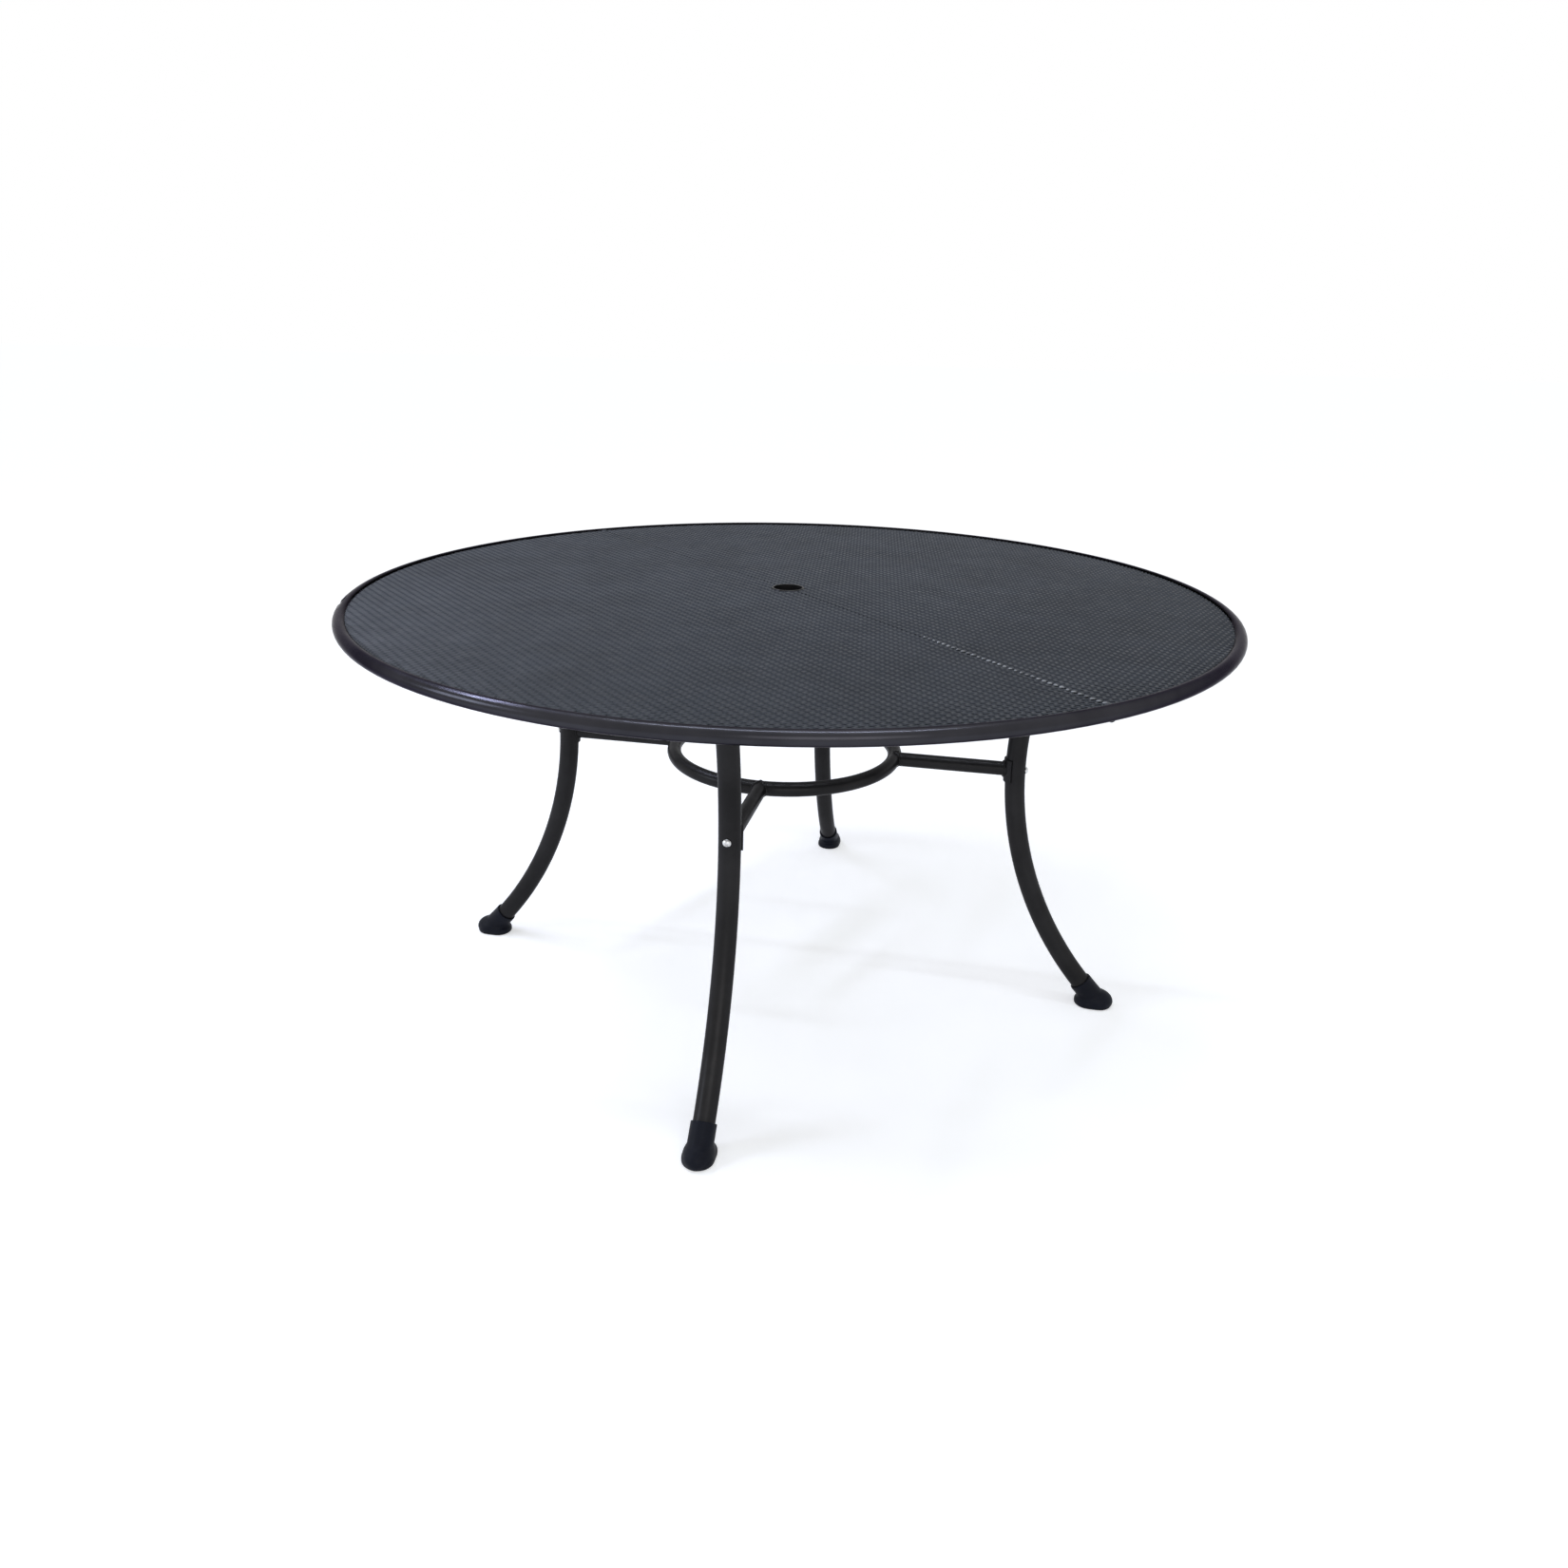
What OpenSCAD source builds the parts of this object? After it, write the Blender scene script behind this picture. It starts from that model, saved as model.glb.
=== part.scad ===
// Round patio table: a mesh top in two halves on a tubular frame, with four bowed legs.
// Millimetres, Z up. The origin is on the floor under the middle of the umbrella hole.
// The legs stand on the X and Y axes.

/* [Table] */
// Diameter over the rim
table_d = 1500; // [1300:10:1600]
// Height of the rim's top above the floor
table_h = 738; // [720:1:770]
// Clearance left where one piece seats on another
fit = 0.2; // [0.1:0.05:0.4]

/* [Rim] */
// Outer diameter of the rim tube
rim_tube_d = 22; // [19:1:28]
// Wall of the rim tube
rim_wall = 1.5; // [1:0.1:2.5]
// Diameter of the drain holes under the closed rings
drain_d = 5; // [3:0.5:6]

/* [Mesh] */
// Depth of the mesh's edge below the rim's top
mesh_drop = 3.5; // [2.5:0.5:7]
// Rise of the mesh from the rim to the middle, where the hub holds it up
crown = 11; // [0:0.5:20]
// Thickness of the expanded sheet
mesh_t = 2; // [1.5:0.25:3]
// Long way of one diamond, square to the seam
mesh_long = 66; // [60:2:100]
// Short way of one diamond, along the seam
mesh_short = 33; // [30:1:50]
// Width of the strands between the diamonds
strand_w = 7; // [5:0.5:9]
// Unpierced border along the rim, the hub and the seam
mesh_border = 8; // [5:1:14]
// Direction of the seam, from the X axis
seam_turn = 135; // [125:5:145]
// Gap between the two halves, which the seam weld fills
seam_gap = 1; // [0.4:0.1:2]

/* [Bars] */
// Outer diameter of the bars under the mesh
bar_d = 19; // [14:1:22]
// Wall of the bars
bar_wall = 1.5; // [1:0.1:2.5]

/* [Hub] */
// Bore of the umbrella hole
hub_bore = 50; // [38:1:56]
// Wall of the hub tube
hub_wall = 3; // [2:0.5:7]
// Length of the hub tube
hub_h = 42; // [38:1:80]
// Height of the hub's edge above the mesh
hub_rise = 1; // [0.5:0.5:10]
// Rounding of the hub's upper edge
hub_round = 1; // [0.5:0.25:1.5]

/* [Support ring] */
// Width of the flat ring
ring_w = 55; // [45:1:66]
// Thickness of the flat ring
ring_t = 10; // [4:0.5:12]
// Distance of the ring's middle outside the tops of the legs
ring_shift = 24; // [5:0.5:28]

/* [Legs] */
// Outer diameter of the leg tube
leg_d = 35; // [30:0.5:38]
// Wall of the leg tube
leg_wall = 2; // [1.5:0.25:3]
// Radius from the table's axis to the leg where it is narrowest
waist_r = 414; // [380:2:430]
// Height of that narrowest place
waist_h = 466; // [440:2:500]
// Radius of the leg's bend
bend_r = 650; // [600:10:750]
// Height of the middle of the leg's lower end
leg_end_h = 17; // [16:1:22]

/* [Top plates] */
// Length of a leg's top plate, along the table's radius
plate_l = 66; // [58:1:74]
// Width of a top plate
plate_w = 84; // [78:1:96]
// Thickness of a top plate
plate_t = 5; // [3:0.5:8]
// Distance of the plate's middle outside the top of the leg
plate_shift = 13; // [8:1:16]
// Corner radius of a top plate
plate_round = 8; // [3:1:12]

/* [Leg bolts] */
// Thread diameter of the bolts that hold the legs
bolt_d = 8; // [6:1:10]
// Distance between the two bolts of one leg
bolt_spread = 56; // [50:1:60]
// Width across the flats of the hexagon heads and nuts
hex_w = 13; // [10:1:16]
// Height of the hexagon heads
head_h = 5.3; // [4:0.1:7]
// Height of the nuts
nut_h = 6.5; // [5:0.5:8]
// Outer diameter of the washers
washer_d = 16; // [14:1:18]
// Thickness of the washers
washer_t = 1.6; // [1:0.1:2]
// Thread that stands out of the nuts
thread_over = 3; // [1:0.5:4]
// Clearance round a bolt in its hole
bolt_play = 0.4; // [0.2:0.1:0.8]

/* [Stretcher] */
// Radius of the stretcher ring's centre line
stretcher_r = 200; // [150:5:260]
// Height of the stretcher's centre line above the floor
stretcher_h = 449; // [400:1:480]
// Outer diameter of the stretcher's tubes
stretcher_d = 25; // [22:1:28]
// Wall of the stretcher's tubes
stretcher_wall = 2; // [1.5:0.25:3]

/* [Saddle plates] */
// Height of a saddle plate
saddle_h = 40; // [32:1:60]
// Thickness of a saddle plate
saddle_t = 3; // [2:0.5:4]
// Angle of the leg that a saddle plate wraps
saddle_wrap = 140; // [100:5:160]

/* [Stretcher bolts] */
// Thread diameter of the bolts through the legs
cross_d = 8; // [6:1:10]
// Diameter of their domed heads
cross_head_d = 13; // [12:0.5:16]
// Height of their domed heads
cross_head_h = 4.5; // [3.5:0.5:5]
// Width of the hexagon socket in a head
socket_w = 5; // [4:1:6]
// Depth of the socket
socket_deep = 2.5; // [1.5:0.5:2.5]
// Length of the threaded plug in the end of a spoke
plug_l = 22; // [15:1:40]

/* [Boots] */
// Wall of the boot's sleeve
sleeve_wall = 2.8; // [2:0.2:4]
// Height of the middle of the sleeve's top
sleeve_h = 45; // [40:1:70]
// Length of the boot's pad, along the table's radius
pad_l = 68; // [62:1:80]
// Width of the boot's pad
pad_w = 51; // [48:1:60]
// Height of the pad's toe
toe_h = 24; // [22:1:32]
// Height of the pad's heel
heel_h = 18; // [17:1:26]
// Height of the pad's upright edge
pad_edge = 8; // [4:1:10]
// Distance of the pad's middle outside the leg's lower end
pad_shift = 2; // [0:0.5:6]

/* [Hidden] */
$fn = 96;
SIDES = ["right", "back", "left", "front"];
frame_colour = "#2b2b2f";
mesh_colour = "#444850";

rim_r = (table_d - rim_tube_d) / 2;
rim_z = table_h - rim_tube_d / 2;
mesh_top = table_h - mesh_drop;
mesh_low = mesh_top - mesh_t;
hub_d = hub_bore + 2 * hub_wall;
sleeve_d = leg_d + 2 * (fit + sleeve_wall);
hex_d = hex_w / cos(30);
socket_d = socket_w / cos(30);
outer_r = leg_d / 2;
saddle_in_r = outer_r + fit;
saddle_out_r = saddle_in_r + saddle_t;

// The leg's centre line is one arc: its distance from the axis, and its lean, at a height z
function leg_r(z) = waist_r + bend_r - sqrt(bend_r ^ 2 - (z - waist_h) ^ 2);
function leg_lean(z) = asin((z - waist_h) / bend_r);

// The crown of each half has eight facets, which sag a little between the ridges
facet_turn = 22.5;
facet_sag = crown / cos(facet_turn / 2) - crown;
// The mesh ends where its lower edge meets the inside of the rim tube
mesh_edge = min(abs(mesh_low - facet_sag - rim_z), abs(mesh_top - rim_z));
mesh_r = rim_r - sqrt((rim_tube_d / 2) ^ 2 - mesh_edge ^ 2) - fit;
facet_lean = atan(crown / mesh_r / cos(facet_turn / 2));
open_r = mesh_r - mesh_border;
open_in = hub_d / 2 + mesh_border;

hub_top = mesh_top + crown * (1 - hub_d / 2 / mesh_r) + hub_rise;
bar_z = mesh_low - fit - bar_d / 2;
ring_top = bar_z - bar_d / 2 - fit;
ring_low = ring_top - ring_t;
plate_top = ring_low - fit;
plate_low = plate_top - plate_t;
leg_top = plate_low - fit;
ring_mid = leg_r(leg_top) + ring_shift;
plate_mid = leg_r(leg_top) + plate_shift;
pad_mid = leg_r(leg_end_h) + pad_shift;
cross_seat = leg_r(stretcher_h - cross_head_d / 2) + outer_r + fit;

// Sweeps a flat profile along the leg's arc between two heights; the profile's +X faces the table's axis
module along_leg(low, high) {
  translate([waist_r + bend_r, 0, waist_h]) rotate([90, 0, 0])
    rotate_extrude(start = 180 - leg_lean(high), angle = leg_lean(high) - leg_lean(low), $fn = 180)
      translate([bend_r, 0]) children();
}

// Turns a piece of the leg on the X axis to one of the four legs
module at_leg(i) rotate(90 * i) children();

// A pipe's section
module pipe(d, wall) difference() {
  circle(d = d);
  circle(d = d - 2 * wall);
}

// A bent tube closed into a ring, with drain holes in its underside between the legs
module ring_pipe(r, z, d, wall) difference() {
  translate([0, 0, z]) rotate_extrude($fn = 240) translate([r, 0]) pipe(d, wall, $fn = 48);
  for (i = [0 : 3]) rotate(90 * i + 20) translate([r, 0, z - d / 2 - 1]) cylinder(d = drain_d, h = d / 2);
}

module rim() color(frame_colour) ring_pipe(rim_r, rim_z, rim_tube_d, rim_wall);

// The diamonds of one half, in columns that stand square to the seam; X is the distance from the seam
module diamonds() {
  columns = ceil(2 * open_r / mesh_long);
  rows = ceil(open_r / mesh_short);
  half_x = mesh_long / 2 - strand_w;
  half_y = (mesh_short - strand_w) / 2;
  for (i = [0 : columns], j = [-rows : rows])
    let (x = mesh_border + i * mesh_long / 2, y = (j + (i % 2) / 2) * mesh_short, d = norm([x, y]))
      if (d < open_r - strand_w && d > open_in + strand_w)
        translate([x, y]) polygon([[i > 0 ? -half_x : 0, 0], [0, -half_y], [half_x, 0], [0, half_y]]);
}

// Everything below the crown of one half, at the height z of its edge
module under_crown(z) intersection_for(k = [-3.5 : 3.5]) rotate(facet_turn * k) translate([0, 0, z + crown])
  rotate([0, facet_lean, 0]) translate([-table_d, -table_d, -table_h]) cube([2 * table_d, 2 * table_d, table_h]);

// One half of the expanded sheet, on the +X side of the seam
module mesh_half() color(mesh_colour) intersection() {
  translate([0, 0, mesh_low - 1]) linear_extrude(crown + mesh_t + 2) difference() {
    intersection() {
      circle(mesh_r, $fn = 240);
      translate([seam_gap / 2, -mesh_r]) square([mesh_r, 2 * mesh_r]);
    }
    circle(hub_d / 2 + fit);
    intersection() {
      circle(open_r, $fn = 240);
      diamonds();
    }
  }
  difference() {
    under_crown(mesh_top);
    under_crown(mesh_low);
  }
}

module mesh_front() rotate(seam_turn + 90) mesh_half();
module mesh_back() rotate(seam_turn - 90) mesh_half();

// A level tube from the hub to the rim, coped to both
module bar(turn) color(frame_colour) rotate(turn) difference() {
  translate([0, 0, bar_z]) rotate([0, 90, 0]) linear_extrude(rim_r) pipe(bar_d, bar_wall);
  translate([0, 0, bar_z - bar_d]) cylinder(d = hub_d + 2 * fit, h = 2 * bar_d);
  translate([0, 0, rim_z]) rotate_extrude($fn = 240) translate([rim_r, 0]) circle(d = rim_tube_d + 2 * fit, $fn = 48);
}

// The umbrella's hole, with a rounded upper edge
module hub() color(frame_colour) difference() {
  translate([0, 0, hub_top - hub_h]) cylinder(d = hub_d, h = hub_h);
  translate([0, 0, hub_top - hub_h - 1]) cylinder(d = hub_bore, h = hub_h + 2);
  translate([0, 0, hub_top - hub_round]) rotate_extrude() difference() {
    translate([hub_d / 2 - hub_round, 0]) square(2 * hub_round);
    translate([hub_d / 2 - hub_round, 0]) circle(hub_round);
  }
}

// Places its children at both bolts of each leg
module at_leg_bolts() {
  for (i = [0 : 3], s = [-1, 1]) at_leg(i) translate([ring_mid, s * bolt_spread / 2]) children();
}

module support_ring() color(frame_colour) difference() {
  translate([0, 0, ring_low]) linear_extrude(ring_t) difference() {
    circle(ring_mid + ring_w / 2, $fn = 180);
    circle(ring_mid - ring_w / 2, $fn = 180);
  }
  at_leg_bolts() translate([0, 0, ring_low - 1]) cylinder(d = bolt_d + 2 * bolt_play, h = ring_t + 2);
}

// One bowed leg: a bent tube, cut level at the top, with a cross hole for the stretcher's bolt
module leg(i) color(frame_colour) at_leg(i) difference() {
  along_leg(leg_end_h, leg_top + outer_r) pipe(leg_d, leg_wall);
  translate([0, -leg_d, leg_top]) cube([waist_r + bend_r, 2 * leg_d, 3 * leg_d]);
  cross_hole();
}

// The hole for a stretcher's bolt, along the X axis through a leg and its saddle plate
module cross_hole() translate([waist_r - leg_d, 0, stretcher_h]) rotate([0, 90, 0])
  cylinder(d = cross_d + 2 * bolt_play, h = 2 * leg_d);

// The plate on a leg's top, with its two bolt holes
module top_plate(i) color(frame_colour) at_leg(i) translate([plate_mid, 0, plate_low]) difference() {
  linear_extrude(plate_t) {
    square([plate_l - 2 * plate_round, plate_w], center = true);
    square([plate_l, plate_w - 2 * plate_round], center = true);
    for (x = [-1, 1], y = [-1, 1])
      translate([x * (plate_l / 2 - plate_round), y * (plate_w / 2 - plate_round)]) circle(plate_round);
  }
  for (s = [-1, 1]) translate([ring_mid - plate_mid, s * bolt_spread / 2, -1])
    cylinder(d = bolt_d + 2 * bolt_play, h = plate_t + 2);
}

module leg_bolts() color("silver") at_leg_bolts() {
  translate([0, 0, plate_low - fit - head_h]) cylinder(d = hex_d, h = head_h, $fn = 6);
  translate([0, 0, plate_low - fit - 1])
    cylinder(d = bolt_d, h = ring_top - plate_low + 3 * fit + 1 + washer_t + nut_h + thread_over);
}

module leg_washers() color("silver") at_leg_bolts() translate([0, 0, ring_top + fit]) difference() {
  cylinder(d = washer_d, h = washer_t);
  translate([0, 0, -1]) cylinder(d = bolt_d + 2 * fit, h = washer_t + 2);
}

module leg_nuts() color("silver") at_leg_bolts() translate([0, 0, ring_top + 2 * fit + washer_t]) difference() {
  cylinder(d = hex_d, h = nut_h, $fn = 6);
  translate([0, 0, -1]) cylinder(d = bolt_d + 2 * fit, h = nut_h + 2);
}

module stretcher_ring() color(frame_colour) ring_pipe(stretcher_r, stretcher_h, stretcher_d, stretcher_wall);

// A tube from the stretcher ring to a leg's saddle plate, coped to both
module spoke(i) color(frame_colour) at_leg(i) difference() {
  translate([stretcher_r, 0, stretcher_h]) rotate([0, 90, 0])
    linear_extrude(waist_r - stretcher_r) pipe(stretcher_d, stretcher_wall);
  translate([0, 0, stretcher_h]) rotate_extrude() translate([stretcher_r, 0]) circle(d = stretcher_d + 2 * fit);
  along_leg(stretcher_h - stretcher_d, stretcher_h + stretcher_d) circle(saddle_out_r + fit);
}

// A plate bent round the inner side of a leg, which the spoke is welded to
module saddle(i) color(frame_colour) at_leg(i) difference() {
  along_leg(stretcher_h - saddle_h / 2, stretcher_h + saddle_h / 2) difference() {
    circle(saddle_out_r);
    circle(saddle_in_r);
    for (s = [0, 1]) mirror([0, s]) polygon([[0, 0], 2 * saddle_out_r * [cos(saddle_wrap / 2), sin(saddle_wrap / 2)],
      [-2 * saddle_out_r, 2 * saddle_out_r], [-2 * saddle_out_r, 0]]);
  }
  cross_hole();
}

// The threaded plug welded into the outer end of each spoke
module spoke_plugs() color("dimgray")
  for (i = [0 : 3]) at_leg(i) translate([leg_r(stretcher_h) - saddle_out_r - 2 * fit - plug_l, 0, stretcher_h])
    rotate([0, 90, 0]) difference() {
      cylinder(d = stretcher_d - 2 * stretcher_wall - 2 * fit, h = plug_l);
      translate([0, 0, -1]) cylinder(d = cross_d + 2 * fit, h = plug_l + 2);
    }

// A domed head with a hexagon socket, and a shank through the leg and the saddle plate into the plug
module stretcher_bolts() color("silver")
  for (i = [0 : 3]) at_leg(i) translate([cross_seat, 0, stretcher_h]) rotate([0, 90, 0]) difference() {
    dome_r = (cross_head_d ^ 2 / 4 + cross_head_h ^ 2) / (2 * cross_head_h);
    union() {
      intersection() {
        cylinder(d = cross_head_d, h = cross_head_h);
        translate([0, 0, cross_head_h - dome_r - 0.5]) sphere(dome_r + 0.5);
      }
      translate([0, 0, leg_r(stretcher_h) - saddle_out_r - plug_l / 2 - cross_seat])
        cylinder(d = cross_d, h = cross_seat - leg_r(stretcher_h) + saddle_out_r + plug_l / 2 + 1);
    }
    translate([0, 0, cross_head_h - socket_deep]) cylinder(d = socket_d, h = socket_deep + 1, $fn = 6);
  }

// A low dome with an upright edge, for the two ends of a boot's pad
module bun(r, h) rotate_extrude($fn = 32)
  polygon([[0, 0], [r - 2, 0], [r, 2], for (a = [0 : 15 : 90]) [r * cos(a), pad_edge + (h - pad_edge) * sin(a)]]);

// A moulded boot: a sleeve round the leg's end, on a domed pad
module boot(i) color("#0e1018") at_leg(i) difference() {
  union() {
    hull() {
      translate([pad_mid + (pad_l - pad_w) / 2, 0]) bun(pad_w / 2, toe_h);
      translate([pad_mid - (pad_l - pad_w) / 2, 0]) bun(pad_w / 2, heel_h);
    }
    along_leg(leg_end_h, sleeve_h) circle(d = sleeve_d);
  }
  along_leg(leg_end_h - fit, sleeve_h + 1) circle(d = leg_d + 2 * fit);
}

rim();
mesh_front();
mesh_back();
bar(seam_turn);  // seam_bar_left
bar(seam_turn + 180);  // seam_bar_right
for (i = [0 : 3]) bar(90 * i);
hub();
support_ring();
for (i = [0 : 3]) leg(i);
for (i = [0 : 3]) top_plate(i);
leg_bolts();
leg_washers();
leg_nuts();
stretcher_ring();
for (i = [0 : 3]) spoke(i);
for (i = [0 : 3]) saddle(i);
spoke_plugs();
stretcher_bolts();
for (i = [0 : 3]) boot(i);
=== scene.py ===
import math
import random

import bmesh
import bpy
from mathutils import Matrix, Vector


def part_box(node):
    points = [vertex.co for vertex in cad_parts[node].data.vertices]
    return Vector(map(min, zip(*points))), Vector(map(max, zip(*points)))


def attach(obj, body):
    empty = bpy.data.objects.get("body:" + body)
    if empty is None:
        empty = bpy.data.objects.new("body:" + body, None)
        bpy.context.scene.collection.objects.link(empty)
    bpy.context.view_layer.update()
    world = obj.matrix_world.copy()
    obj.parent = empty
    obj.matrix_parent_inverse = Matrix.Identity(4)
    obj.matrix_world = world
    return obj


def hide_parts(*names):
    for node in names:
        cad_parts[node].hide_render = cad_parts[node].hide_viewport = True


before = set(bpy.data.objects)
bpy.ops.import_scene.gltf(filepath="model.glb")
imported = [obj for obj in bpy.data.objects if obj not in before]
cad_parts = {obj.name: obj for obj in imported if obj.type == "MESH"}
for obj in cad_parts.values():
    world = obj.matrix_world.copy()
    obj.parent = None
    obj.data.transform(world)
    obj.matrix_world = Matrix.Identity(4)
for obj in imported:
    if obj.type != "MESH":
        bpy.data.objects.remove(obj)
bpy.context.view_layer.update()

# Sizes, in metres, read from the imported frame
RIM_LOW, RIM_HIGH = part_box("rim")
RIM_TUBE_R = (RIM_HIGH[2] - RIM_LOW[2]) / 2
RIM_R = RIM_HIGH[0] - RIM_TUBE_R
RIM_Z = RIM_LOW[2] + RIM_TUBE_R
HUB_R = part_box("hub")[1][0]
MESH_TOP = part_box("mesh_back")[1][2]
BAR_LOW, BAR_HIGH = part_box("bar_right")
BAR_R = (BAR_HIGH[2] - BAR_LOW[2]) / 2
BAR_Z = (BAR_HIGH[2] + BAR_LOW[2]) / 2
STRETCHER_LOW, STRETCHER_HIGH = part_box("stretcher_ring")
SPOKE_R = (STRETCHER_HIGH[2] - STRETCHER_LOW[2]) / 2
STRETCHER_Z = STRETCHER_LOW[2] + SPOKE_R
LEG_R, _, LEG_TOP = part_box("leg_back")[1]

# Radii and heights of the CAD that its boxes don't give exactly: the stretcher ring's centre line, the
# saddles' inner face, and a leg's centre line, with its waist and the one radius at which it bends
STRETCHER_R = 0.2
SADDLE_R = 0.0207
WAIST_R = 0.414
WAIST_Z = 0.466
BEND_R = 0.650

# The crowned sheet: its rise to the middle, its thickness, its outer radius, and the height of its
# middle surface at that radius
CROWN = 0.011
MESH_T = 0.002
SHEET_R = 0.7292
SHEET_EDGE_Z = MESH_TOP - MESH_T / 2 - CROWN * (1 - HUB_R / SHEET_R)

# The strands start a little outside the hub and end at the rim's tube
STRANDS_FROM_R = HUB_R + 0.0002
STRANDS_TO_R = SHEET_R + 0.0015

# The diamonds' long and short way, half a bond's length and width, how far its upper and lower tip stand
# over and under the middle of the sheet, the strands' thickness, and half the gap at the seam
LONG_WAY = 0.025
SHORT_WAY = 0.0108
BOND_HALF = 0.0032
STRAND_HALF = 0.0014
STRAND_TILT = 0.0011
STRAND_T = 0.0013
SEAM_HALF = 0.0003

# The way along the seam, and the way across it, which is the diamonds' long way
SEAM_TURN = math.radians(135)
ALONG = Vector((math.cos(SEAM_TURN), math.sin(SEAM_TURN)))
ACROSS = Vector((ALONG.y, -ALONG.x))

# The seam's welds: where they start and stop, and how far they stand over the middle of the sheet;
# far out on the near side they are lighter, a painted highlight for their glints, and a little further out
# they are full size
SEAM_FROM = HUB_R + 0.004
SEAM_TO = RIM_R - 0.012
SEAM_RISE = 0.0004
GLINT_FROM = 0.36
WELD_FULL_FROM = 0.39
SMALL_WELD = 0.6

# The uneven domes of those welds: rings and sides, ranges of the spread, height and turn, and the share
# by which the edge varies
DOME_RINGS = 3
DOME_SIDES = 10
DOME_SPREAD = (0.8, 1.2)
DOME_HEIGHT = (0.75, 1.2)
DOME_TURN = (0, 6.28)
DOME_EDGE = 0.08

# The frame's weld beads: points along and around, their waves and their random lumps
BEAD_STEPS = 40
BEAD_SIDES = 8
BEAD_WAVE = 0.16
BEAD_WAVE_STEP = 2.4
BEAD_LUMPS = 0.12

# A bar's bead stays at least this share of the tube's radius inside the rim's centre line
BAR_BEAD_INSIDE = 0.7

# A leg's slanted cut is longer than it is wide, and its bead lies just under the top plate
LEG_CUT = 1.07
LEG_BEAD_SINK = 0.001

# The rounded body of a boot's pad: its middle, half its length, width and height, its lowest height,
# and the parts that its mesh has
PAD_MIDDLE = (0.5985, 0, 0.009)
PAD_HALF = (0.0335, 0.0250, 0.0225)
PAD_FLOOR = 0.0008
PAD_SEGMENTS = 48
PAD_RINGS = 32

# What blends a boot with its pad: the size of the voxels and the steps of smoothing
BOOT_VOXEL = 0.0009
BOOT_SMOOTHING = 16

# How far out the painted shade beside the mesh reaches on the rim
SHADE_FROM = 0.7325
SHADE_TO = 0.7372

# The grain of each texture: its scale, detail and roughness
MOTTLE_GRAIN = (9, 5, 0.6)
DUST_GRAIN = (38, 6, 0.7)
GLOSS_GRAIN = (55, 4, 0.6)
PEEL_GRAIN = (900, 2, 0.5)

# The part of each value's range that is spread over its whole effect, and the depth of the bump
MOTTLE_SPAN = (0.35, 0.65)
DUST_SPAN = (0.42, 0.7)
GLOSS_SPAN = (0.3, 0.7)
UPWARD_SPAN = (0.2, 1.0)
PEEL_DEPTH = 0.0002

# Colours
DUST = (0.16, 0.155, 0.15)
# Painted shade on the rim's inner side, next to the mesh
RIM_JOINT_SHADE = (0.003, 0.003, 0.003)
# Painted shade on the strands' sides and undersides
STRAND_SIDE_SHADE = (0.026, 0.029, 0.035)
WHITE = (1, 1, 1, 1)
FLOOR_GREY = (0.8, 0.8, 0.8, 1)
SKY_BLUE = (0.93, 0.96, 1.0, 1)

# The floor's half width, its glow, which grows between two distances from the table's axis, and the
# strength of the light from all round
FLOOR_HALF = 30
LIFT_FROM = 1.0
LIFT_TO = 4.0
FLOOR_LIFT_NEAR = 0.50
FLOOR_LIFT_FAR = 0.68
SKY_STRENGTH = 0.42

# The photograph's camera: where it stands, how it is turned, and its lens
PHOTO_SIZE = 1650
CAMERA_AT = Vector((0.3942, -2.0246, 1.1864))
CAMERA_YAW = math.radians(-11.999)
CAMERA_PITCH = math.radians(21.855)
CAMERA_ROLL = math.radians(0.959)
FOCAL_PX = 1263.5
CENTRE_PX = (804.1, 835.9)
SENSOR_WIDTH = 36

# Where a Mix node has its two colours and its result
MIX_COLOURS = (6, 7)
MIX_RESULT = 2


# Objects
def linked(name, data):
    """A new object of this mesh, lamp or camera, linked to the scene."""
    made = bpy.data.objects.new(name, data)
    bpy.context.scene.collection.objects.link(made)
    return made


def mesh_object(name, points, faces, smooth=True):
    """A new mesh object from points and faces."""
    mesh = bpy.data.meshes.new(name)
    mesh.from_pydata([tuple(p) for p in points], [], faces)
    mesh.validate()
    if smooth:
        mesh.shade_smooth()
    mesh.update()
    return linked(name, mesh)


def set_material(piece, material):
    """The piece gets this material alone."""
    piece.data.materials.clear()
    piece.data.materials.append(material)


def finish_piece(piece, material, slot, *nodes):
    """The piece gets its material, rides with the table and stands for its CAD nodes; the slot is not
    used.
    """
    set_material(piece, material)
    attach(piece, "root")
    if nodes:
        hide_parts(*nodes)


# Shader nodes
def noise(tree, grain):
    """A noise texture over the object's own coordinates."""
    where = tree.nodes.new("ShaderNodeTexCoord")
    texture = tree.nodes.new("ShaderNodeTexNoise")
    for key, number in zip(("Scale", "Detail", "Roughness"), grain):
        texture.inputs[key].default_value = number
    tree.links.new(where.outputs["Object"], texture.inputs["Vector"])
    return texture.outputs["Fac"]


def spread(tree, value, span, low, high):
    """Maps a value from a span to the range from low to high, clamped."""
    node = tree.nodes.new("ShaderNodeMapRange")
    for key, number in zip(("From Min", "From Max", "To Min", "To Max"), (*span, low, high)):
        node.inputs[key].default_value = number
    tree.links.new(value, node.inputs["Value"])
    return node.outputs["Result"]


def blend(tree, factor, first, second):
    """Mixes two colours, each a socket or a tuple: the first at factor 0 and the second at 1."""
    node = tree.nodes.new("ShaderNodeMix")
    node.data_type = "RGBA"
    tree.links.new(factor, node.inputs[0])
    for place, colour in zip(MIX_COLOURS, (first, second)):
        if isinstance(colour, tuple):
            node.inputs[place].default_value = (*colour, 1)
        else:
            tree.links.new(colour, node.inputs[place])
    return node.outputs[MIX_RESULT]


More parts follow.
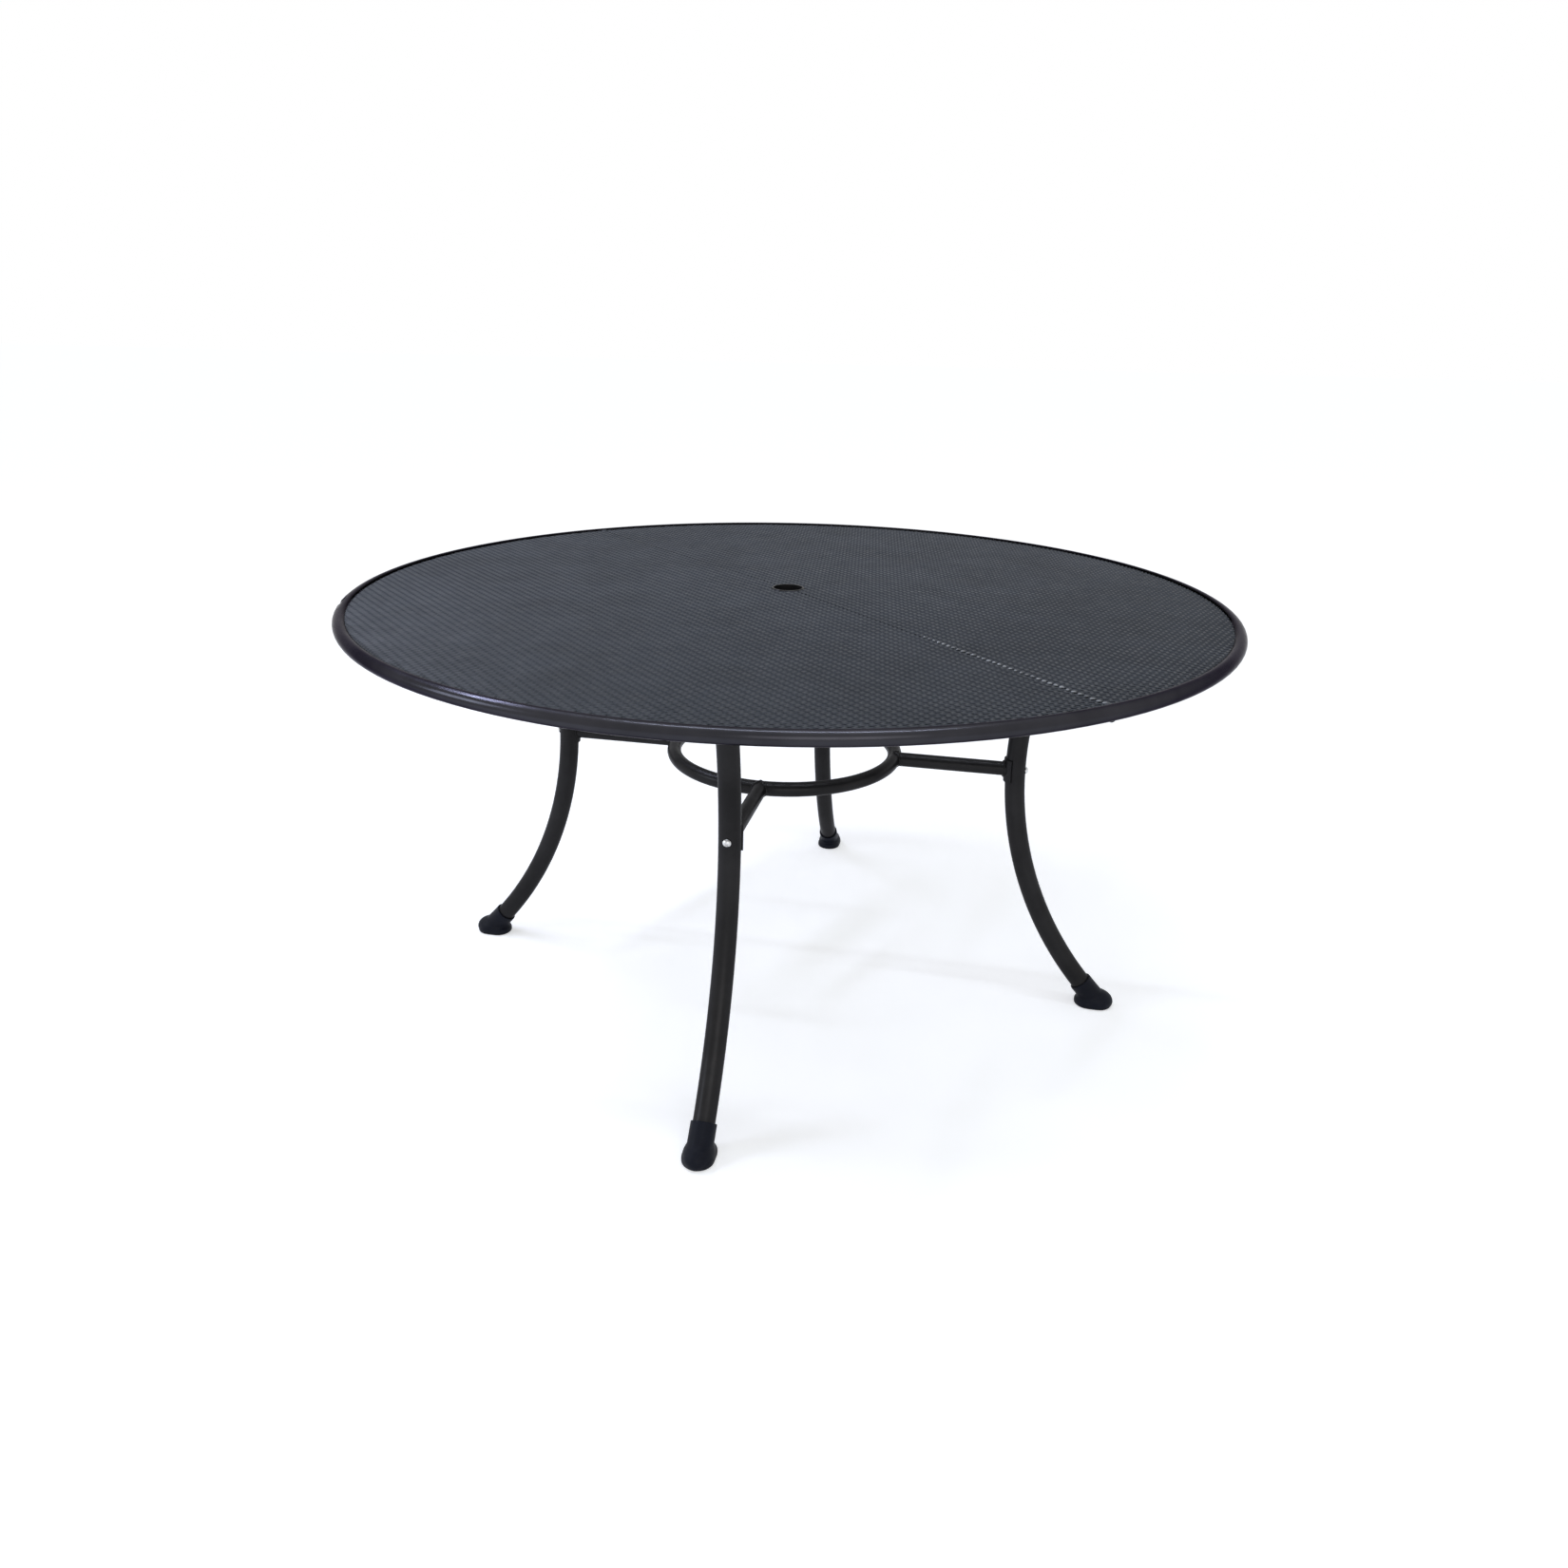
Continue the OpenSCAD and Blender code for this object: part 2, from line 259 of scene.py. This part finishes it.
def combine(tree, operation, first, second):
    """Two value sockets, combined by a maths operation."""
    node = tree.nodes.new("ShaderNodeMath")
    node.operation = operation
    tree.links.new(first, node.inputs[0])
    tree.links.new(second, node.inputs[1])
    return node.outputs[0]


def upward(tree):
    """How far a surface faces up, from 0 to 1."""
    geometry = tree.nodes.new("ShaderNodeNewGeometry")
    split = tree.nodes.new("ShaderNodeSeparateXYZ")
    tree.links.new(geometry.outputs["Normal"], split.inputs[0])
    return spread(tree, split.outputs["Z"], UPWARD_SPAN, 0, 1)


def from_axis(tree):
    """How far a point lies from the table's upright axis."""
    where = tree.nodes.new("ShaderNodeTexCoord")
    flat = tree.nodes.new("ShaderNodeVectorMath")
    flat.operation = "MULTIPLY"
    flat.inputs[1].default_value = (1, 1, 0)
    distance = tree.nodes.new("ShaderNodeVectorMath")
    distance.operation = "LENGTH"
    tree.links.new(where.outputs["Object"], flat.inputs[0])
    tree.links.new(flat.outputs[0], distance.inputs[0])
    return distance.outputs["Value"]


def seen_directly(tree):
    """1 for camera, glossy and transmission rays, which see the white background."""
    rays = tree.nodes.new("ShaderNodeLightPath")
    seen = combine(tree, "MAXIMUM", rays.outputs["Is Camera Ray"], rays.outputs["Is Glossy Ray"])
    return combine(tree, "MAXIMUM", seen, rays.outputs["Is Transmission Ray"])


# Materials
def coated(name, dark, light, dust, rough, peel, specular):
    """A coat of mottled colour, with dust on what faces up, uneven gloss and an orange-peel bump."""
    material = bpy.data.materials.new(name)
    material.use_nodes = True
    tree = material.node_tree
    shader = tree.nodes["Principled BSDF"]
    mottle = spread(tree, noise(tree, MOTTLE_GRAIN), MOTTLE_SPAN, 0, 1)
    colour = blend(tree, mottle, dark, light)
    patches = spread(tree, noise(tree, DUST_GRAIN), DUST_SPAN, 0, dust)
    dusty = combine(tree, "MULTIPLY", upward(tree), patches)
    tree.links.new(blend(tree, dusty, colour, DUST), shader.inputs["Base Color"])
    gloss = spread(tree, noise(tree, GLOSS_GRAIN), GLOSS_SPAN, *rough)
    tree.links.new(gloss, shader.inputs["Roughness"])
    shader.inputs["Specular IOR Level"].default_value = specular
    bump = tree.nodes.new("ShaderNodeBump")
    bump.inputs["Strength"].default_value = peel
    bump.inputs["Distance"].default_value = PEEL_DEPTH
    tree.links.new(noise(tree, PEEL_GRAIN), bump.inputs["Height"])
    tree.links.new(bump.outputs["Normal"], shader.inputs["Normal"])
    return material


def recolour(material, factor, other):
    """The material's colour where the factor is 1, and another colour where it is 0."""
    tree = material.node_tree
    socket = tree.nodes["Principled BSDF"].inputs["Base Color"]
    tree.links.new(blend(tree, factor, other, socket.links[0].from_socket), socket)


def shade_rim_inside(material):
    """Painted shade along the rim's inner side, where the mesh meets it: darker and without gloss."""
    tree = material.node_tree
    unshaded = spread(tree, from_axis(tree), (SHADE_FROM, SHADE_TO), 0, 1)
    recolour(material, unshaded, RIM_JOINT_SHADE)
    gloss = tree.nodes["Principled BSDF"].inputs["Specular IOR Level"]
    tree.links.new(spread(tree, unshaded, (0, 1), 0, gloss.default_value), gloss)


def add_metal(material, share, edge):
    """Makes a share of the coat metal, with a tint for what is seen almost edge on."""
    shader = material.node_tree.nodes["Principled BSDF"]
    shader.inputs["Metallic"].default_value = share
    shader.inputs["Specular Tint"].default_value = (*edge, 1)


mesh_paint = coated(
    "mesh_paint", dark=(0.027, 0.0305, 0.037), light=(0.037, 0.0415, 0.050),
    dust=0.08, rough=(0.38, 0.55), peel=0.1, specular=0.12)
# Painted shade: what doesn't face up, the strands' sides and undersides, is darker
recolour(mesh_paint, upward(mesh_paint.node_tree), STRAND_SIDE_SHADE)

rim_paint = coated(
    "rim_paint", dark=(0.029, 0.0288, 0.034), light=(0.040, 0.0395, 0.046),
    dust=0.03, rough=(0.18, 0.26), peel=0.06, specular=0.10)
# Painted shade on the rim's inner side, next to the mesh
shade_rim_inside(rim_paint)
add_metal(rim_paint, share=0.9, edge=(0.38, 0.37, 0.39))

frame_paint = coated(
    "frame_paint", dark=(0.017, 0.0166, 0.0172), light=(0.026, 0.0253, 0.0262),
    dust=0.06, rough=(0.28, 0.40), peel=0.2, specular=0.16)
add_metal(frame_paint, share=0.6, edge=(0.45, 0.45, 0.46))

# Painted highlight: a lighter weld colour that stands for the glints on the near seam's outer welds
weld_glint_paint = coated(
    "weld_glint_paint", dark=(0.05, 0.055, 0.065), light=(0.30, 0.31, 0.33),
    dust=0.3, rough=(0.25, 0.4), peel=0.3, specular=0.5)

boot_plastic = coated(
    "boot_plastic", dark=(0.003, 0.0038, 0.008), light=(0.006, 0.0078, 0.015),
    dust=0.03, rough=(0.42, 0.6), peel=0.3, specular=0.12)

zinc_plate = coated(
    "zinc_plate", dark=(0.55, 0.55, 0.56), light=(0.75, 0.75, 0.74),
    dust=0.2, rough=(0.22, 0.4), peel=0.15, specular=0.35)
add_metal(zinc_plate, share=1, edge=(1, 1, 1))


def paint_cad_nodes():
    """Gives each CAD node its material, those that another piece replaces too."""
    for name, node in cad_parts.items():
        if name == "rim":
            material = rim_paint
        elif name in ("leg_bolts", "leg_washers", "leg_nuts", "stretcher_bolts"):
            material = zinc_plate
        elif name.startswith("boot"):
            material = boot_plastic
        elif name.startswith("mesh"):
            material = mesh_paint
        else:
            material = frame_paint
        set_material(node, material)


# The expanded-metal top
def sheet_z(x, y):
    """The height of the crowned sheet's middle surface."""
    return SHEET_EDGE_Z + CROWN * (1 - math.hypot(x, y) / SHEET_R)


class HalfSheet:
    """One half of the sheet: a lattice of bonds joined by strands, up to the rim, the hub and the seam.

    Columns count outwards from the seam, half a long way apart. Rows count along the seam, a short way
    apart, and every other column stands half a row further on. The side is 1 or -1.
    """

    def __init__(self, side):
        self.side = side
        self.outward, self.inward = ("right", "left") if side > 0 else ("left", "right")
        self.seam_edge = ("up", "down") if side > 0 else ("down", "up")
        self.points = []
        self.faces = []
        self.bonds = {}

    def place(self, u, v, rise):
        """A pair of points, over and under the sheet's middle; gives the index of the upper one.

        u runs across the seam and v along it. A point past the hub or the rim moves back to its edge.
        """
        r = math.hypot(u, v)
        fit = min(max(r, STRANDS_FROM_R), STRANDS_TO_R) / r if r else 1.0
        x, y = fit * (u * ACROSS + v * ALONG)
        height = sheet_z(x, y) + rise
        self.points.append((x, y, height + STRAND_T / 2))
        self.points.append((x, y, height - STRAND_T / 2))
        return len(self.points) - 2

    def slab(self, corners):
        """The upper and the lower face over these corners, which run counter-clockwise from above."""
        self.faces.append(tuple(corners))
        self.faces.append(tuple(c + 1 for c in reversed(corners)))

    def wall(self, start, end):
        """The upright face under an edge, which looks to the right of the way from start to end."""
        self.faces.append((start, start + 1, end + 1, end))

    def tips(self, column, row):
        """The four tips of a bond, across and along the seam."""
        u = self.side * column * LONG_WAY / 2
        v = (row + (column % 2) / 2) * SHORT_WAY
        return {"right": (u + BOND_HALF, v), "up": (u, v + STRAND_HALF),
                "left": (u - BOND_HALF, v), "down": (u, v - STRAND_HALF)}

    def inside(self, points):
        """Whether any of the points lies between the hub and the rim."""
        return any(STRANDS_FROM_R < math.hypot(*p) < STRANDS_TO_R for p in points)

    def bond(self, column, row):
        """A bond's tips as indices of points; the bonds on the seam have no inward tip."""
        if (column, row) not in self.bonds:
            tips = self.tips(column, row)
            shift = 0.0 if column else self.side * SEAM_HALF
            made = {}
            for name, rise in (("up", STRAND_TILT), ("down", -STRAND_TILT)):
                made[name] = self.place(tips[name][0] + shift, tips[name][1], rise)
            for name in ("right", "left"):
                if column or name == self.outward:
                    made[name] = self.place(*tips[name], 0)
            self.bonds[column, row] = made
        return self.bonds[column, row]

    def strand(self, column, row, next_row, way):
        """The strand from a bond to one in the next column, which lies up (1) or down (-1) the rows."""
        high, low = ("up", "down") if way > 0 else ("down", "up")
        near = self.tips(column, row)
        far = self.tips(column + 1, next_row)
        if not self.inside((near[self.outward], near[high], far[low], far[self.inward])):
            return
        near = self.bond(column, row)
        far = self.bond(column + 1, next_row)
        if self.side * way > 0:
            a, b, c, d = near[self.outward], far[low], far[self.inward], near[high]
        else:
            a, b, c, d = near[high], far[self.inward], far[low], near[self.outward]
        self.slab((a, b, c, d))
        self.wall(a, b)
        self.wall(c, d)

    def build(self, name):
        """Makes the half sheet as one mesh object."""
        columns = int(STRANDS_TO_R / (LONG_WAY / 2)) + 2
        rows = int(STRANDS_TO_R / SHORT_WAY) + 2
        for column in range(columns + 1):
            for row in range(-rows, rows + 1):
                if self.inside(self.tips(column, row).values()):
                    bond = self.bond(column, row)
                    self.slab([bond[k] for k in ("right", "up", "left", "down") if k in bond])
                    if column == 0:
                        self.wall(*(bond[k] for k in self.seam_edge))
                self.strand(column, row, row + column % 2, 1)
                self.strand(column, row, row + column % 2 - 1, -1)
        return mesh_object(name, self.points, self.faces, smooth=False)


def build_sheet():
    """The strands of both halves, each in place of its CAD sheet."""
    for half, side in (("back", 1), ("front", -1)):
        piece = HalfSheet(side).build("mesh_" + half + "_strands")
        finish_piece(piece, mesh_paint, "mesh", "mesh_" + half)


# Welds
def weld_domes(name, places, radius, height, seed):
    """Low uneven domes as one mesh, one at each place, which is a point and a factor of the radius."""
    rng = random.Random(seed)
    points, faces = [], []
    for (x, y, z), size in places:
        top = len(points)
        turn = rng.uniform(*DOME_TURN)
        reach = radius * size * rng.uniform(*DOME_SPREAD)
        rise = height * rng.uniform(*DOME_HEIGHT)
        squash = rng.uniform(*DOME_SPREAD)
        points.append((x, y, z + rise))
        for ring in range(1, DOME_RINGS + 1):
            slope = ring / DOME_RINGS * math.pi / 2
            for side in range(DOME_SIDES):
                a = turn + 2 * math.pi * side / DOME_SIDES
                r = reach * math.sin(slope) * (1 + DOME_EDGE * rng.uniform(-1, 1))
                points.append((x + r * math.cos(a) * squash, y + r * math.sin(a) / squash,
                               z + rise * math.cos(slope)))
        first = top + 1
        last = first + (DOME_RINGS - 1) * DOME_SIDES
        for side in range(DOME_SIDES):
            after = (side + 1) % DOME_SIDES
            faces.append((top, first + side, first + after))
            for here in range(first, last, DOME_SIDES):
                there = here + DOME_SIDES
                faces.append((here + side, there + side, there + after, here + after))
        faces.append(tuple(last + side for side in reversed(range(DOME_SIDES))))
    return mesh_object(name, points, faces)


def on_seam(v):
    """The foot of a weld on the seam, at a signed distance from the axis."""
    x, y = v * ALONG
    return x, y, sheet_z(x, y) + SEAM_RISE


def build_seam():
    """A weld on each pair of bonds along the seam, with a painted highlight far out on the near side, and
    one at each end of the seam.
    """
    painted, glinting = [], []
    count = int(RIM_R / SHORT_WAY)
    for row in range(-count, count + 1):
        v = row * SHORT_WAY
        if SEAM_FROM < abs(v) < SEAM_TO:
            # Far out on the near side the welds are lighter, a painted highlight for their glints
            kind = glinting if v < -GLINT_FROM else painted
            kind.append((on_seam(v), SMALL_WELD if v > -WELD_FULL_FROM else 1.0))
    ends = [(on_seam(v), 1.0) for v in (-SHEET_R, SHEET_R)]
    kinds = (
        ("seam_welds", painted, 0.0029, 0.0014, 4, mesh_paint),
        ("seam_welds_glint", glinting, 0.0031, 0.0022, 5, weld_glint_paint),
        ("seam_end_welds", ends, 0.006, 0.0025, 6, mesh_paint),
    )
    for name, places, radius, height, seed, material in kinds:
        finish_piece(weld_domes(name, places, radius, height, seed), material, "mesh")


def leg_r(z):
    """The distance of a leg's centre line from the table's axis at a height."""
    return WAIST_R + BEND_R - math.sqrt(BEND_R ** 2 - (z - WAIST_Z) ** 2)


def half_width(radius, off):
    """Half the width of a circle at a distance from its middle, or 0 outside it."""
    return math.sqrt(max(radius ** 2 - off ** 2, 0))


def spoke_on_ring(a):
    """A point of the joint of a spoke and the stretcher ring."""
    y, z = SPOKE_R * math.sin(a), SPOKE_R * math.cos(a)
    return half_width(STRETCHER_R + half_width(SPOKE_R, z), y), y, STRETCHER_Z + z


def spoke_on_saddle(a):
    """A point of the joint of a spoke and a saddle plate."""
    y, z = SPOKE_R * math.sin(a), SPOKE_R * math.cos(a)
    return leg_r(STRETCHER_Z + z) - half_width(SADDLE_R, y), y, STRETCHER_Z + z


def bar_on_rim(a):
    """A point of the joint of a bar and the rim."""
    y, z = BAR_R * math.sin(a), BAR_Z + BAR_R * math.cos(a)
    reach = RIM_R - max(half_width(RIM_TUBE_R, z - RIM_Z), BAR_BEAD_INSIDE * RIM_TUBE_R)
    return half_width(reach, y), y, z


def bar_on_hub(a):
    """A point of the joint of a bar and the hub."""
    y, z = BAR_R * math.sin(a), BAR_Z + BAR_R * math.cos(a)
    return half_width(HUB_R, y), y, z


def leg_on_plate(a):
    """A point of the joint of a leg and its top plate."""
    x = leg_r(LEG_TOP) + LEG_CUT * LEG_R * math.cos(a)
    return x, LEG_R * math.sin(a), LEG_TOP - LEG_BEAD_SINK


def bead(points, faces, path, radius, rng):
    """Adds a lumpy weld bead along a closed path."""
    base = len(points)
    count = len(path)
    middle = sum(path, Vector()) / count
    for k, at in enumerate(path):
        forward = (path[(k + 1) % count] - path[k - 1]).normalized()
        out = (at - middle).cross(forward).cross(forward).normalized()
        across = forward.cross(out)
        lumps = rng.uniform(-BEAD_LUMPS, BEAD_LUMPS)
        size = radius * (1 + BEAD_WAVE * math.sin(k * BEAD_WAVE_STEP) + lumps)
        for side in range(BEAD_SIDES):
            a = 2 * math.pi * side / BEAD_SIDES
            points.append(at + size * (out * math.cos(a) + across * math.sin(a)))
    for k in range(count):
        here = base + k * BEAD_SIDES
        there = base + (k + 1) % count * BEAD_SIDES
        for side in range(BEAD_SIDES):
            after = (side + 1) % BEAD_SIDES
            faces.append((here + side, here + after, there + after, there + side))


def build_welds():
    """The weld beads of the frame, as one mesh for each kind of joint."""
    quarters = [math.pi / 2 * k for k in range(4)]
    bars = quarters + [SEAM_TURN, SEAM_TURN + math.pi]
    kinds = (
        ("ring_welds", spoke_on_ring, quarters, 0.0026),
        ("saddle_welds", spoke_on_saddle, quarters, 0.0024),
        ("rim_welds", bar_on_rim, bars, 0.0012),
        ("hub_welds", bar_on_hub, bars, 0.0020),
        ("leg_welds", leg_on_plate, quarters, 0.0026),
    )
    for seed, (name, joint, turns, radius) in enumerate(kinds):
        rng = random.Random(seed)
        path = [Vector(joint(2 * math.pi * k / BEAD_STEPS)) for k in range(BEAD_STEPS)]
        points, faces = [], []
        for turn in turns:
            spin = Matrix.Rotation(turn, 3, "Z")
            bead(points, faces, [spin @ p for p in path], radius, rng)
        finish_piece(mesh_object(name, points, faces), frame_paint, "frame")


# Boots
def boot_form(node, turn):
    """The mesh of a CAD boot with a rounded pad added to it, in the node's own coordinates."""
    to_local = node.matrix_world.inverted() @ Matrix.Rotation(turn, 4, "Z")
    form = bmesh.new()
    form.from_mesh(node.data)
    pad = bmesh.ops.create_uvsphere(form, u_segments=PAD_SEGMENTS, v_segments=PAD_RINGS, radius=1)["verts"]
    for vert in pad:
        x, y, z = (middle + half * at for middle, half, at in zip(PAD_MIDDLE, PAD_HALF, vert.co))
        vert.co = to_local @ Vector((x, y, max(z, PAD_FLOOR)))
    mesh = bpy.data.meshes.new("boot_form")
    form.to_mesh(mesh)
    form.free()
    return mesh


def build_boots():
    """Each boot as one moulded form: the CAD boot with a rounded pad, all blended together."""
    for k, side in enumerate(("right", "back", "left", "front")):
        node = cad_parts["boot_" + side]
        piece = linked("boot_moulding_" + side, boot_form(node, k * math.pi / 2))
        piece.matrix_world = node.matrix_world
        remesh = piece.modifiers.new("remesh", "REMESH")
        remesh.mode = "VOXEL"
        remesh.voxel_size = BOOT_VOXEL
        soften = piece.modifiers.new("soften", "SMOOTH")
        soften.iterations = BOOT_SMOOTHING
        depsgraph = bpy.context.evaluated_depsgraph_get()
        mesh = bpy.data.meshes.new_from_object(piece.evaluated_get(depsgraph))
        piece.modifiers.clear()
        piece.data = mesh
        mesh.shade_smooth()
        finish_piece(piece, boot_plastic, "boot", "boot_" + side)


# Studio
def build_floor():
    """A wide white floor, which keeps the table's soft shadow."""
    corners = [(FLOOR_HALF * x, FLOOR_HALF * y, 0) for x, y in ((-1, -1), (1, -1), (1, 1), (-1, 1))]
    floor = mesh_object("floor", corners, [(0, 1, 2, 3)], smooth=False)
    material = bpy.data.materials.new("floor_white")
    material.use_nodes = True
    tree = material.node_tree
    tree.nodes.clear()
    out = tree.nodes.new("ShaderNodeOutputMaterial")
    diffuse = tree.nodes.new("ShaderNodeBsdfDiffuse")
    diffuse.inputs["Color"].default_value = FLOOR_GREY
    glow = tree.nodes.new("ShaderNodeEmission")
    glow.inputs["Color"].default_value = WHITE
    lift = spread(tree, from_axis(tree), (LIFT_FROM, LIFT_TO), FLOOR_LIFT_NEAR, FLOOR_LIFT_FAR)
    tree.links.new(combine(tree, "MULTIPLY", seen_directly(tree), lift), glow.inputs["Strength"])
    both = tree.nodes.new("ShaderNodeAddShader")
    tree.links.new(diffuse.outputs[0], both.inputs[0])
    tree.links.new(glow.outputs[0], both.inputs[1])
    tree.links.new(both.outputs[0], out.inputs["Surface"])
    floor.data.materials.append(material)


def build_world():
    """Soft light from all round; seen directly it is white."""
    world = bpy.data.worlds.new("studio")
    bpy.context.scene.world = world
    world.use_nodes = True
    tree = world.node_tree
    tree.nodes.clear()
    out = tree.nodes.new("ShaderNodeOutputWorld")
    mix = tree.nodes.new("ShaderNodeMixShader")
    tree.links.new(seen_directly(tree), mix.inputs[0])
    for place, colour, strength in ((1, SKY_BLUE, SKY_STRENGTH), (2, WHITE, 1)):
        background = tree.nodes.new("ShaderNodeBackground")
        background.inputs["Color"].default_value = colour
        background.inputs["Strength"].default_value = strength
        tree.links.new(background.outputs[0], mix.inputs[place])
    tree.links.new(mix.outputs[0], out.inputs["Surface"])


def area_light(name, at, aim, size, power, colour):
    """A soft oblong lamp at a place, aimed at a point."""
    data = bpy.data.lights.new(name, "AREA")
    data.shape = "RECTANGLE"
    data.size, data.size_y = size
    data.energy = power
    data.color = colour
    lamp = linked(name, data)
    lamp.location = at
    lamp.rotation_euler = (Vector(aim) - Vector(at)).to_track_quat("-Z", "Y").to_euler()


def build_lights():
    """Two windows at the left, two lamps above and one in front."""
    area_light("high_window", at=(-2.1, 0.25, 2.9), aim=(-0.2, -0.5, 0.7),
               size=(1.5, 0.12), power=44, colour=(0.72, 0.77, 1.0))
    area_light("low_window", at=(-2.9, -1.6, 1.5), aim=(0, -0.4, 0.3),
               size=(1.0, 1.0), power=18, colour=(0.80, 0.88, 1.0))
    area_light("overhead", at=(0, 0, 4.0), aim=(0, 0, 0.7),
               size=(3.5, 3.5), power=14, colour=(0.97, 0.98, 1.0))
    area_light("ceiling_strip", at=(0.1, -0.3, 3.4), aim=(0.1, -0.3, 0.7),
               size=(2.4, 0.12), power=36, colour=(0.80, 0.88, 1.0))
    area_light("front_fill", at=(1.5, -4.0, 1.8), aim=(0, 0, 0.4),
               size=(2.5, 2.0), power=24, colour=(1, 1, 1))


def build_camera():
    """The photograph's camera, from its yaw, pitch and roll, its focal length and its centre in pixels."""
    cy, sy = math.cos(CAMERA_YAW), math.sin(CAMERA_YAW)
    cp, sp = math.cos(CAMERA_PITCH), math.sin(CAMERA_PITCH)
    forward = Vector((sy * cp, cy * cp, -sp))
    level = Vector((cy, -sy, 0))
    upright = level.cross(forward)
    right = level * math.cos(CAMERA_ROLL) + upright * math.sin(CAMERA_ROLL)
    up = upright * math.cos(CAMERA_ROLL) - level * math.sin(CAMERA_ROLL)
    data = bpy.data.cameras.new("camera")
    data.sensor_width = SENSOR_WIDTH
    data.lens = FOCAL_PX / PHOTO_SIZE * SENSOR_WIDTH
    data.shift_x = (PHOTO_SIZE / 2 - CENTRE_PX[0]) / PHOTO_SIZE
    data.shift_y = (CENTRE_PX[1] - PHOTO_SIZE / 2) / PHOTO_SIZE
    camera = linked("camera", data)
    turn = Matrix((right, up, -forward)).transposed().to_4x4()
    camera.matrix_world = Matrix.Translation(CAMERA_AT) @ turn
    bpy.context.scene.camera = camera


paint_cad_nodes()
build_sheet()
build_seam()
build_welds()
build_boots()
build_floor()
build_world()
build_lights()
build_camera()
bpy.context.scene.view_settings.view_transform = "Standard"
